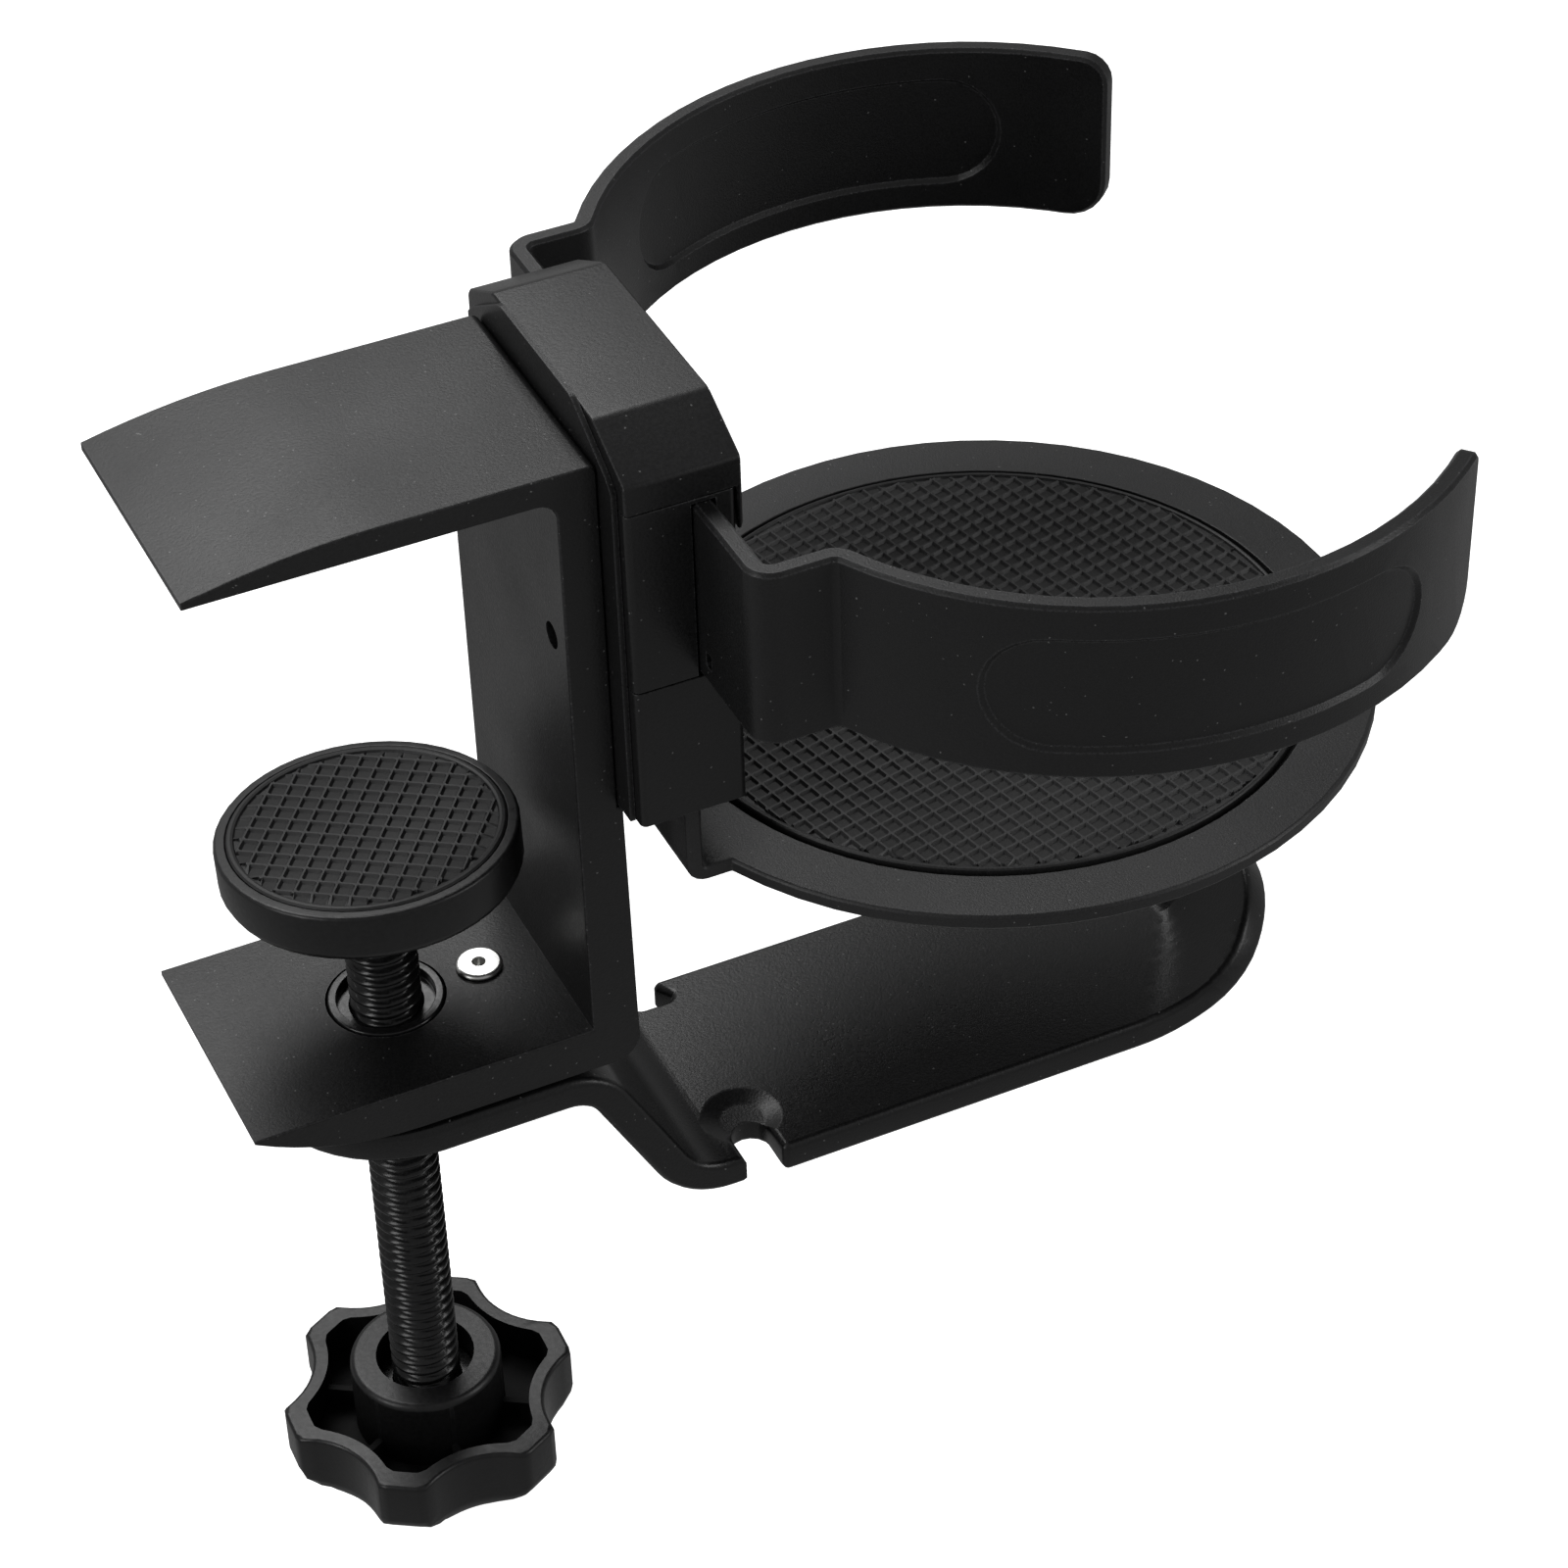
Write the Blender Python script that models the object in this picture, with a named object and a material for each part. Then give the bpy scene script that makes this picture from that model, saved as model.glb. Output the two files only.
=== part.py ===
"""Desk clamp cup holder: a C-shaped clamp, a cup rest with two sliding grip arms, and a swivelling hook.

The origin is on the clamp screw's axis, at the face that rests on the desk top. +X points from the
clamp to the cup, +Z is up. Dimensions are in millimetres and the meshes are made in metres.
"""

import math

import bmesh
import bpy
from mathutils import Vector
from mathutils.geometry import tessellate_polygon

MM = 0.001
ROUND = 48

# Clamp frame: one C-shaped bar
JAW_OPENING = 69.1
JAW_HALF = 15.2
JAW_TIP_X = -20.5
WALL_IN_X = 17.9
WALL_OUT_X = 22.3
FOOT_OUT_X = 23.3
UPPER_JAW_T = 3.25
LOWER_JAW_T = 5.8
UPPER_CURVE_R = 90.0
LOWER_CURVE_R = 35.5
LOWER_CURVE_X = -2.0
LOWER_JAW_Z = -JAW_OPENING
JAW_FLOOR_Z = LOWER_JAW_Z - LOWER_JAW_T

# Screw, its bush, and the swivelling pad
SCREW_R = 3.95
SCREW_BORE_R = 4.05
SCREW_FOOT_Z = -133.5
SCREW_SHOULDER_Z = -52.75
BALL_Z = -50.6
BALL_R = 3.1
SOCKET_R = 3.2
NECK_R = 2.5
BUSH_R = 6.4
BUSH_FOOT_Z = -81.6
PAD_R = 16.2
PAD_TOP = 5.1
PAD_BOTTOM = -0.7
PAD_TILT = -4.58
RUBBER_R = 14.8

# Star knob
KNOB_TOP_Z = -129.2
KNOB_FOOT_Z = -138.0
KNOB_FLOOR_Z = -134.4
KNOB_TIP_R = 17.0
KNOB_VALLEY_D = 23.4
KNOB_VALLEY_R = 9.5
KNOB_TIP_WALL = 2.5
KNOB_VALLEY_WALL = 1.8
KNOB_TURN = -2.0
HUB_TOP_Z = -124.6
HUB_R = 8.8
HUB_HOLE_R = 5.7
WEB_TOP_Z = -131.7
WEB_HALF = 0.4

# Hook: one bent strip that swivels on the bush
HOOK_T = 3.9
HOOK_HALF = 15.7
HOOK_Z = -77.2
HOOK_FLAT = 14.4
HOOK_BEND_ONE = 6.0
HOOK_SLOPE = 62.0
HOOK_SLOPE_LENGTH = 13.9
HOOK_BEND_TWO = 8.0
HOOK_TRAY_X = 33.29
HOOK_TRAY_HALF = 16.2
LIP_TURN = 48.0
LIP_MID = (96.3, 4.4)
LIP_SIDE = (84.6, 20.6)
LIP_END_X = 110.45
LIP_ROUND = 16.35
STOP_X = 10.9
STOP_PIN_R = 1.6
SLOT_REACH = 99.3

# Housing behind the clamp wall
PLATE_X = (22.35, 22.95)
HOUSING_X = (23.0, 34.9)
COVER_X = (23.0, 35.6)
COVER_SKIRT_Z = -5.6
HOUSING_HALF = 20.0
SEAM_Z = -22.2
BODY_TOP_Z = -0.5
BASE_FOOT_Z = -39.5
COVER_TOP_Z = 6.9
NEAR_CHANNEL_X = (30.05, 32.7)
FAR_CHANNEL_X = (31.75, 34.35)
STACK_X = 25.9
STACK_Y = 16.0
BASE_SCREW_Y = 11.0
BASE_SCREW_Z = -31.0
GRUB_Y = -11.3
GRUB_Z = -18.6
FAR_BRAKE_Z = -6.0

# Grip arms: two bent strips that slide in the housing
ARM_T = 2.2
ARM_NEAR_X = 31.35
ARM_FAR_X = 33.05
ARM_Z = (-21.9, -1.1)
ARM_TONGUE_Y = 6.5
ARM_TONGUE = 12.5
ARM_BEND_R = 2.0
ARM_PILL_Z = (-18.6, -4.9)
ARM_PILL_DEPTH = 0.5

# Cup rest
REST_T = 1.8
REST_X = 72.7
REST_R = 43.2
REST_Z = -50.7
REST_HALF = 18.2
LEG_X = 29.5
LEG_TOP_Z = -26.0
LEG_BEND_R = 1.4
MAT_R = 35.9
MAT_SEAT_R = 36.6


def clear_scene():
    for obj in list(bpy.data.objects):
        bpy.data.objects.remove(obj)


def material(name, colour, metallic, roughness):
    made = bpy.data.materials.new(name)
    made.use_nodes = True
    shader = made.node_tree.nodes["Principled BSDF"]
    shader.inputs["Base Color"].default_value = (*colour, 1.0)
    shader.inputs["Metallic"].default_value = metallic
    shader.inputs["Roughness"].default_value = roughness
    return made


def arc(cx, cy, radius, start, end, steps):
    """Points on a circle from one angle to another, in degrees."""
    angles = [math.radians(start + (end - start) * i / steps) for i in range(steps + 1)]
    return [(cx + radius * math.cos(a), cy + radius * math.sin(a)) for a in angles]


def circle(cx, cy, radius, steps=ROUND):
    return arc(cx, cy, radius, 0.0, 360.0, steps)[:-1]


def box_outline(u0, u1, v0, v1, corner=0.0):
    if not corner:
        return [(u0, v0), (u1, v0), (u1, v1), (u0, v1)]
    outline = arc(u1 - corner, v0 + corner, corner, -90, 0, 4)
    outline += arc(u1 - corner, v1 - corner, corner, 0, 90, 4)
    outline += arc(u0 + corner, v1 - corner, corner, 90, 180, 4)
    outline += arc(u0 + corner, v0 + corner, corner, 180, 270, 4)
    return outline


def inset(loop, distance):
    """The loop moved inwards by a distance. The loop runs anticlockwise."""
    if not distance:
        return list(loop)
    moved = []
    for i, point in enumerate(loop):
        before = Vector(loop[i - 1])
        here = Vector(point)
        after = Vector(loop[(i + 1) % len(loop)])
        one = (here - before).normalized()
        two = (after - here).normalized()
        both = Vector((-one.y - two.y, one.x + two.x))
        moved.append(tuple(here + both * (2.0 * distance / both.length_squared)))
    return moved


def ring_of(bm, points):
    return [bm.verts.new(point) for point in points]


def join_rings(bm, lower, upper):
    count = len(lower)
    for i in range(count):
        j = (i + 1) % count
        bm.faces.new((lower[i], lower[j], upper[j], upper[i]))


def cap(bm, rings):
    """Flat faces inside the first ring and outside the others."""
    verts = [vert for ring in rings for vert in ring]
    for triangle in tessellate_polygon([[vert.co for vert in ring] for ring in rings]):
        bm.faces.new([verts[i] for i in triangle])


def flat_plate(bm, outline, holes, layers, dents=(), dent_depth=0.0):
    """A plate whose outline is inset at each layer (height, inset), with holes and dents on both faces."""
    rings = [ring_of(bm, [(u, v, w) for u, v in inset(outline, d)]) for w, d in layers]
    for lower, upper in zip(rings, rings[1:]):
        join_rings(bm, lower, upper)
    low = layers[0][0]
    high = layers[-1][0]
    ends = {low: [rings[0]], high: [rings[-1]]}
    for hole in holes:
        pair = [ring_of(bm, [(u, v, w) for u, v in hole]) for w in (low, high)]
        join_rings(bm, *pair)
        ends[low].append(pair[0])
        ends[high].append(pair[1])
    for dent in dents:
        for w, step in ((low, dent_depth), (high, -dent_depth)):
            mouth = ring_of(bm, [(u, v, w) for u, v in dent])
            floor = ring_of(bm, [(u, v, w + step) for u, v in inset(dent, dent_depth)])
            join_rings(bm, mouth, floor)
            ends[w].append(mouth)
            cap(bm, [floor])
    for loops in ends.values():
        cap(bm, loops)


def turn_axes(bm, axis):
    """Turns a plate made along Z so that it runs along X or Y."""
    for vert in bm.verts:
        u, v, w = vert.co
        if axis == "X":
            vert.co = (w, u, v)
        elif axis == "Y":
            vert.co = (u, w, v)


def spin(bm, profile, steps=ROUND):
    """Turns a profile of (radius, z) round Z. It closes on itself, or on the axis where it ends there."""
    rings = []
    for radius, z in profile:
        if radius == 0.0:
            rings.append([bm.verts.new((0.0, 0.0, z))])
        else:
            rings.append(ring_of(bm, [(x, y, z) for x, y in circle(0.0, 0.0, radius, steps)]))
    pairs = list(zip(rings, rings[1:]))
    if len(rings[0]) > 1:
        pairs.append((rings[-1], rings[0]))
    for lower, upper in pairs:
        if len(lower) == 1 or len(upper) == 1:
            pole = lower[0] if len(lower) == 1 else upper[0]
            ring = upper if len(lower) == 1 else lower
            for i in range(len(ring)):
                bm.faces.new((ring[i], ring[(i + 1) % len(ring)], pole))
        else:
            join_rings(bm, lower, upper)


def along(path, start, heading, distance):
    """Position and heading after a distance along pieces of (length, turn in degrees)."""
    x, y = start
    angle = math.radians(heading)
    left = distance
    last = len(path) - 1
    for i, (length, turn) in enumerate(path):
        run = left if i == last or left < length else length
        bend = math.radians(turn) / length
        if bend:
            x += (math.sin(angle + bend * run) - math.sin(angle)) / bend
            y -= (math.cos(angle + bend * run) - math.cos(angle)) / bend
        else:
            x += run * math.cos(angle)
            y += run * math.sin(angle)
        angle += bend * run
        left -= run
        if left <= 0.0:
            break
    return x, y, angle


def stations(path, step):
    """Distances along a path at which a strip needs an edge across it."""
    marks = []
    total = 0.0
    for length, turn in path:
        pieces = max(1, math.ceil(abs(turn) / step))
        marks += [total + length * i / pieces for i in range(1, pieces + 1)]
        total += length
    return marks[:-1]


def slice_at(bm, point, normal):
    geometry = bm.verts[:] + bm.edges[:] + bm.faces[:]
    bmesh.ops.bisect_plane(bm, geom=geometry, dist=1e-5, plane_co=point, plane_no=normal)


def bend_strip(bm, path_at, marks, start, heading, sideways):
    """Bends a flat strip along a path. Its length is u, its width v and its thickness w."""
    for mark in marks:
        slice_at(bm, (mark, 0, 0), (1, 0, 0))
    bmesh.ops.triangulate(bm, faces=bm.faces[:])
    for vert in bm.verts:
        u, v, w = vert.co
        x, y, angle = along(path_at(v), start, heading, u)
        x -= w * math.sin(angle)
        y += w * math.cos(angle)
        vert.co = (x, v, y) if sideways == "Y" else (x, y, v)


def make(name, bm, look, origin=(0.0, 0.0, 0.0), tilt=0.0):
    """An object from a mesh in millimetres, with its origin at a point given in millimetres."""
    bmesh.ops.recalc_face_normals(bm, faces=bm.faces[:])
    if bm.calc_volume(signed=True) < 0.0:
        bmesh.ops.reverse_faces(bm, faces=bm.faces[:])
    shift = Vector(origin)
    for vert in bm.verts:
        vert.co = (vert.co - shift) * MM
    mesh = bpy.data.meshes.new(name)
    bm.to_mesh(mesh)
    bm.free()
    obj = bpy.data.objects.new(name, mesh)
    obj.location = shift * MM
    obj.rotation_euler = (math.radians(tilt), 0.0, 0.0)
    bpy.context.scene.collection.objects.link(obj)
    if look:
        mesh.materials.append(look)
    return obj


def plate(name, outline, layers, look, axis="Z", holes=(), origin=(0.0, 0.0, 0.0)):
    bm = bmesh.new()
    flat_plate(bm, outline, holes, layers)
    turn_axes(bm, axis)
    return make(name, bm, look, origin)


def turned(name, profile, look, origin=(0.0, 0.0, 0.0), tilt=0.0, steps=ROUND):
    bm = bmesh.new()
    spin(bm, profile, steps)
    return make(name, bm, look, origin, tilt)


def rod_along_x(bm, profile, y, z, steps=24):
    """A turned shape of (radius, x) whose axis runs along X at (y, z)."""
    rod = bmesh.new()
    spin(rod, profile, steps)
    for vert in rod.verts:
        u, v, w = vert.co
        vert.co = (w, u + y, v + z)
    add_mesh(bm, rod)


def rod_along_z(bm, profile, x, y, steps=24):
    rod = bmesh.new()
    spin(rod, profile, steps)
    for vert in rod.verts:
        vert.co.x += x
        vert.co.y += y
    add_mesh(bm, rod)


def add_mesh(bm, other):
    mesh = bpy.data.meshes.new("piece")
    other.to_mesh(mesh)
    other.free()
    bm.from_mesh(mesh)
    bpy.data.meshes.remove(mesh)


def pin(low, high, radius):
    """The profile of a plain pin between two heights."""
    return [(0.0, low), (radius, low), (radius, high), (0.0, high)]


def cut(obj, name, bm, operation="DIFFERENCE"):
    """Takes the closed shapes in a mesh away from an object, or joins them to it with UNION."""
    cutter = make(name, bm, None)
    cutter.hide_render = True
    cutter.display_type = "WIRE"
    modifier = obj.modifiers.new(name, "BOOLEAN")
    modifier.operation = operation
    modifier.solver = "EXACT"
    modifier.object = cutter


def even_layers(low, high, chamfer):
    return [(low, chamfer), (low + chamfer, 0.0), (high - chamfer, 0.0), (high, chamfer)]


def clamp_frame():
    curve_z = JAW_FLOOR_Z + LOWER_CURVE_R
    reach = math.degrees(math.asin((LOWER_CURVE_X - JAW_TIP_X) / LOWER_CURVE_R))
    outline = arc(LOWER_CURVE_X, curve_z, LOWER_CURVE_R, -90 - reach, -90, 8)
    outline += arc(FOOT_OUT_X - 3.0, JAW_FLOOR_Z + 3.0, 3.0, -90, 0, 6)
    outline += [(PLATE_X[1], BASE_FOOT_Z - 0.6), (WALL_OUT_X, BASE_FOOT_Z - 0.4)]
    outline += arc(WALL_OUT_X - 1.0, UPPER_JAW_T - 1.0, 1.0, 0, 90, 3)
    reach = math.degrees(math.asin(-JAW_TIP_X / UPPER_CURVE_R))
    outline += arc(0.0, UPPER_JAW_T - UPPER_CURVE_R, UPPER_CURVE_R, 90, 90 + reach, 8)
    outline += [(JAW_TIP_X, 0.0)]
    outline += arc(WALL_IN_X - 2.0, -2.0, 2.0, 90, 0, 5)
    outline += [(WALL_IN_X, LOWER_JAW_Z), (JAW_TIP_X, LOWER_JAW_Z)]
    look = material("clamp_frame_paint", (0.03, 0.03, 0.032), 0.4, 0.45)
    frame = plate("clamp_frame", outline, even_layers(-JAW_HALF, JAW_HALF, 0.25), look, "Y")
    holes = bmesh.new()
    rod_along_z(holes, pin(JAW_FLOOR_Z - 1, LOWER_JAW_Z + 1, BUSH_R + 0.2), 0.0, 0.0, ROUND)
    rod_along_z(holes, pin(JAW_FLOOR_Z - 1, LOWER_JAW_Z + 1, 2.1), STOP_X, 0.0)
    rod_along_x(holes, pin(WALL_IN_X - 1, WALL_OUT_X + 1, 1.5), GRUB_Y, GRUB_Z)
    for y in (-BASE_SCREW_Y, BASE_SCREW_Y):
        rod_along_x(holes, pin(19.4, WALL_OUT_X + 1, 2.0), y, BASE_SCREW_Z)
    cut(frame, "cut_frame_holes", holes)


def screw_bush():
    top = LOWER_JAW_Z + 0.25
    outer = [(BUSH_R - 0.25, top), (BUSH_R, top - 0.25), (BUSH_R, -80.15), (5.75, -80.15)]
    foot = [(5.75, -81.05), (BUSH_R, -81.05), (BUSH_R, -81.3), (6.1, BUSH_FOOT_Z)]
    bore = [(SCREW_BORE_R, BUSH_FOOT_Z), (SCREW_BORE_R, top - 1.05), (5.4, top - 1.05), (5.4, top)]
    look = material("screw_bush_steel", (0.05, 0.05, 0.052), 0.7, 0.4)
    turned("screw_bush", outer + foot + bore, look)


def stop_rivet():
    top = LOWER_JAW_Z + 0.7
    head = [(0.0, top - 1.2), (0.7, top - 1.2), (0.7, top), (2.2, top), (2.6, top - 0.3)]
    tail = [(2.6, LOWER_JAW_Z + 0.05), (2.0, LOWER_JAW_Z + 0.05), (2.0, JAW_FLOOR_Z + 0.1)]
    tail += [(STOP_PIN_R, JAW_FLOOR_Z + 0.1), (STOP_PIN_R, -78.8), (0.0, -78.8)]
    bm = bmesh.new()
    rod_along_z(bm, head + tail, STOP_X, 0.0, 32)
    make("stop_rivet", bm, material("stop_rivet_zinc", (0.6, 0.6, 0.58), 0.9, 0.3))


def hook_washer():
    look = material("hook_washer_nylon", (0.08, 0.08, 0.08), 0.0, 0.5)
    plate("hook_washer", circle(0, 0, 9.4), [(-80.1, 0.0), (-79.25, 0.0)], look, holes=[circle(0, 0, 6.5)])


def retaining_ring():
    outline = arc(0, 0, 8.3, -155, 155, 36) + arc(0, 0, 5.85, 155, -155, 36)
    look = material("retaining_ring_steel", (0.35, 0.35, 0.36), 0.9, 0.35)
    plate("retaining_ring", outline, [(-80.95, 0.0), (-80.2, 0.0)], look)


def hook_path(across):
    """The hook's side view, which ends in a lip that starts further out along its middle."""
    first = HOOK_BEND_ONE * math.radians(HOOK_SLOPE)
    second = HOOK_BEND_TWO * math.radians(HOOK_SLOPE)
    share = min(1.0, abs(across) / HOOK_TRAY_HALF) ** 1.2
    lip_x, lip_r = (m + (s - m) * share for m, s in zip(LIP_MID, LIP_SIDE))
    path = [(HOOK_FLAT, 0.0), (first, -HOOK_SLOPE), (HOOK_SLOPE_LENGTH, 0.0), (second, HOOK_SLOPE)]
    return path + [(lip_x - HOOK_TRAY_X, 0.0), (lip_r * math.radians(LIP_TURN), LIP_TURN), (1.0, 0.0)]


def headset_hook():
    shift = sum(length for length, turn in hook_path(0.0)[:4]) - HOOK_TRAY_X
    near = [(shift + 34.9, -HOOK_HALF)]
    near += arc(shift + 37.1, -11.9, 2.2, 180, 0, 8)
    near += arc(shift + 40.1, -HOOK_TRAY_HALF + 0.8, 0.8, 180, 270, 3)
    far = arc(shift + 38.2, HOOK_TRAY_HALF - 0.8, 0.8, 90, 200, 4)
    far += arc(shift + 37.6, 13.4, 1.0, 0, -90, 4) + arc(shift + 34.8, 13.4, 1.0, 270, 180, 4)
    far += [(shift + 33.8, HOOK_HALF)]
    outline = arc(0, 0, HOOK_HALF, 90, 270, 24) + near
    end = shift + LIP_END_X - LIP_ROUND
    outline += [(end + u * LIP_ROUND, v * HOOK_TRAY_HALF) for u, v in arc(0, 0, 1, -90, 90, 28)]
    outline += far
    slot = arc(0, 0, STOP_X + 1.75, -SLOT_REACH, SLOT_REACH, 26)
    slot += arc(0, 0, STOP_X - 1.75, SLOT_REACH, -SLOT_REACH, 26)
    bm = bmesh.new()
    half = HOOK_T / 2
    layers = [(-half, 0.8), (0.25 - half, 0.3), (0.8 - half, 0.0)]
    layers += [(half - 0.8, 0.0), (half - 0.25, 0.3), (half, 0.8)]
    flat_plate(bm, outline, [circle(0, 0, 6.5), slot], layers)
    for v in (-13.0, -9.5, -6.0, -2.5, 2.5, 6.0, 9.5, 13.0):
        slice_at(bm, (0, v, 0), (0, 1, 0))
    marks = stations(hook_path(0.0)[:5], 8.0) + [shift + 84.6 + 1.6 * i for i in range(16)]
    bend_strip(bm, hook_path, marks, (0.0, HOOK_Z), 0.0, "Y")
    look = material("headset_hook_paint", (0.03, 0.03, 0.032), 0.4, 0.5)
    make("headset_hook", bm, look, (0.0, 0.0, HOOK_Z))


def clamp_screw():
    hole = [(0.0, -123.0), (1.55, -123.0), (1.55, SCREW_FOOT_Z)]
    shank = [(SCREW_R - 0.4, SCREW_FOOT_Z), (SCREW_R, SCREW_FOOT_Z + 0.4)]
    shank += [(SCREW_R, SCREW_SHOULDER_Z - 0.45), (SCREW_R - 0.45, SCREW_SHOULDER_Z)]
    shank += [(NECK_R, SCREW_SHOULDER_Z)]
    start = -math.degrees(math.acos(NECK_R / BALL_R))
    ball = arc(0.0, BALL_Z, BALL_R, start, 90, 12)[:-1] + [(0.0, BALL_Z + BALL_R)]
    look = material("clamp_screw_steel", (0.03, 0.03, 0.032), 0.8, 0.25)
    turned("clamp_screw", hole + shank + ball, look, (0.0, 0.0, SCREW_FOOT_Z))


def pad_seat():
    look = material("pad_seat_nylon", (0.05, 0.05, 0.05), 0.0, 0.5)
    ring = [(2.9, -52.6), (4.5, -52.6), (4.5, -51.95), (2.9, -51.95)]
    turned("pad_seat", ring, look, (0.0, 0.0, BALL_Z), steps=32)


def pad_cup():
    mouth = -math.degrees(math.asin(-PAD_BOTTOM / SOCKET_R))
    socket = [(0.0, BALL_Z + SOCKET_R)] + arc(0.0, BALL_Z, SOCKET_R, 90, mouth, 10)[1:]
    rim = [(15.0, PAD_BOTTOM), (15.8, PAD_BOTTOM + 0.35), (PAD_R, PAD_BOTTOM + 1.2)]
    rim += [(PAD_R, PAD_TOP - 0.5), (PAD_R - 0.4, PAD_TOP), (RUBBER_R + 0.1, PAD_TOP)]
    rim += [(RUBBER_R + 0.1, PAD_TOP - 1.35), (0.0, PAD_TOP - 1.35)]
    profile = socket + [(r, z + BALL_Z) for r, z in rim]
    look = material("pad_cup_plastic", (0.03, 0.03, 0.032), 0.0, 0.4)
    turned("pad_cup", profile, look, (0.0, 0.0, BALL_Z), PAD_TILT)


def pad_rubber():
    low = BALL_Z + PAD_TOP - 1.25
    high = BALL_Z + PAD_TOP + 0.2
    profile = [(0.0, low), (RUBBER_R, low), (RUBBER_R, high - 0.3), (RUBBER_R - 0.3, high), (0.0, high)]
    look = material("pad_rubber_black", (0.02, 0.02, 0.02), 0.0, 0.8)
    turned("pad_rubber", profile, look, (0.0, 0.0, BALL_Z), PAD_TILT)


def star_radius(angle, tip_depth, valley_depth):
    """Radius of the six-lobed outline, moved in at its tips and valleys, at an angle in degrees."""
    beta = (angle - KNOB_TURN + 30.0) % 60.0 - 30.0
    tip = (KNOB_TIP_R - tip_depth) / math.cos(math.radians(beta))
    alpha = math.radians(30.0 - abs(beta))
    room = (KNOB_VALLEY_R + valley_depth) ** 2 - (KNOB_VALLEY_D * math.sin(alpha)) ** 2
    if room <= 0.0:
        return tip
    valley = KNOB_VALLEY_D * math.cos(alpha) - math.sqrt(room)
    return -math.log(math.exp(-3.0 * tip) + math.exp(-3.0 * valley)) / 3.0


def star_ring(bm, depths, z, steps):
    angles = [360.0 * i / steps for i in range(steps)]
    radii = [star_radius(a, *depths) for a in angles]
    pairs = [(r, math.radians(a)) for r, a in zip(radii, angles)]
    return ring_of(bm, [(r * math.cos(a), r * math.sin(a), z) for r, a in pairs])


def star_knob():
    steps = 96
    bm = bmesh.new()
    outside = [((3.2, 0.7), KNOB_FOOT_Z), ((1.3, 0.15), KNOB_FOOT_Z + 1.0)]
    outside += [((0.4, 0.0), KNOB_FOOT_Z + 2.0), ((0.0, 0.0), KNOB_FOOT_Z + 3.2)]
    outside += [((0.0, 0.0), KNOB_TOP_Z - 0.5), ((0.15, 0.15), KNOB_TOP_Z - 0.15)]
    outside += [((0.5, 0.5), KNOB_TOP_Z), ((KNOB_TIP_WALL, KNOB_VALLEY_WALL), KNOB_TOP_Z)]
    outside += [((KNOB_TIP_WALL, KNOB_VALLEY_WALL), KNOB_FLOOR_Z)]
    rings = [star_ring(bm, depths, z, steps) for depths, z in outside]
    hub = [(HUB_R, KNOB_FLOOR_Z), (HUB_R, HUB_TOP_Z - 0.8), (HUB_R - 0.25, HUB_TOP_Z - 0.25)]
    hub += [(HUB_R - 0.8, HUB_TOP_Z)]
    hub += [(HUB_HOLE_R, HUB_TOP_Z), (HUB_HOLE_R, KNOB_FOOT_Z)]
    for radius, z in hub:
        rings.append(ring_of(bm, [(x, y, z) for x, y in circle(0, 0, radius, steps)]))
    for lower, upper in zip(rings, rings[1:] + rings[:1]):
        join_rings(bm, lower, upper)
    look = material("star_knob_plastic", (0.025, 0.025, 0.027), 0.0, 0.4)
    knob = make("star_knob", bm, look, (0.0, 0.0, KNOB_FOOT_Z))
    webs = bmesh.new()
    for k in range(6):
        along = math.radians(KNOB_TURN + 30.0 + 60.0 * k)
        box = box_outline(HUB_R - 1.0, KNOB_VALLEY_D - KNOB_VALLEY_R - 0.9, -WEB_HALF, WEB_HALF)
        outline = [(u * math.cos(along) - v * math.sin(along), u * math.sin(along) + v * math.cos(along))
                   for u, v in box]
        web = bmesh.new()
        flat_plate(web, outline, [], [(KNOB_FLOOR_Z - 0.5, 0.0), (WEB_TOP_Z, 0.0)])
        add_mesh(webs, web)
    cut(knob, "join_knob_webs", webs, "UNION")


def knob_insert():
    look = material("knob_insert_steel", (0.05, 0.05, 0.05), 0.8, 0.35)
    ring = [(4.02, SCREW_FOOT_Z), (5.6, SCREW_FOOT_Z), (5.6, -128.5), (4.02, -128.5)]
    turned("knob_insert", ring, look, (0.0, 0.0, KNOB_FOOT_Z))


def knob_screw():
    top = SCREW_FOOT_Z - 0.1
    profile = [(0.0, top - 1.6), (1.3, top - 1.6), (1.3, top - 2.1), (4.6, top - 2.1), (5.2, top - 1.5)]
    profile += [(5.2, top), (1.45, top), (1.45, -124.0), (0.0, -124.0)]
    look = material("knob_screw_steel", (0.4, 0.4, 0.41), 0.9, 0.3)
    turned("knob_screw", profile, look, (0.0, 0.0, KNOB_FOOT_Z), steps=32)


def knob_cap():
    look = material("knob_cap_plastic", (0.025, 0.025, 0.027), 0.0, 0.4)
    low = KNOB_FOOT_Z + 0.15
    profile = [(0.0, low), (5.3, low), (5.55, low + 0.25), (5.55, -136.0), (0.0, -136.0)]
    turned("knob_cap", profile, look, (0.0, 0.0, KNOB_FOOT_Z), steps=32)


def back_plate():
    half = [(18.4, BASE_FOOT_Z + 0.1), (18.4, 1.6), (17.0, 2.9), (9.6, 7.4), (8.6, 7.7)]
    outline = half + [(-y, z) for y, z in reversed(half)]
    holes = [circle(GRUB_Y, GRUB_Z, 1.7, 24)]
    holes += [circle(y, BASE_SCREW_Z, 2.1, 24) for y in (-BASE_SCREW_Y, BASE_SCREW_Y)]
    look = material("back_plate_steel", (0.04, 0.04, 0.042), 0.5, 0.45)
    plate("back_plate", outline, [(PLATE_X[0], 0.0), (PLATE_X[1], 0.0)], look, "X", holes)


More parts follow.
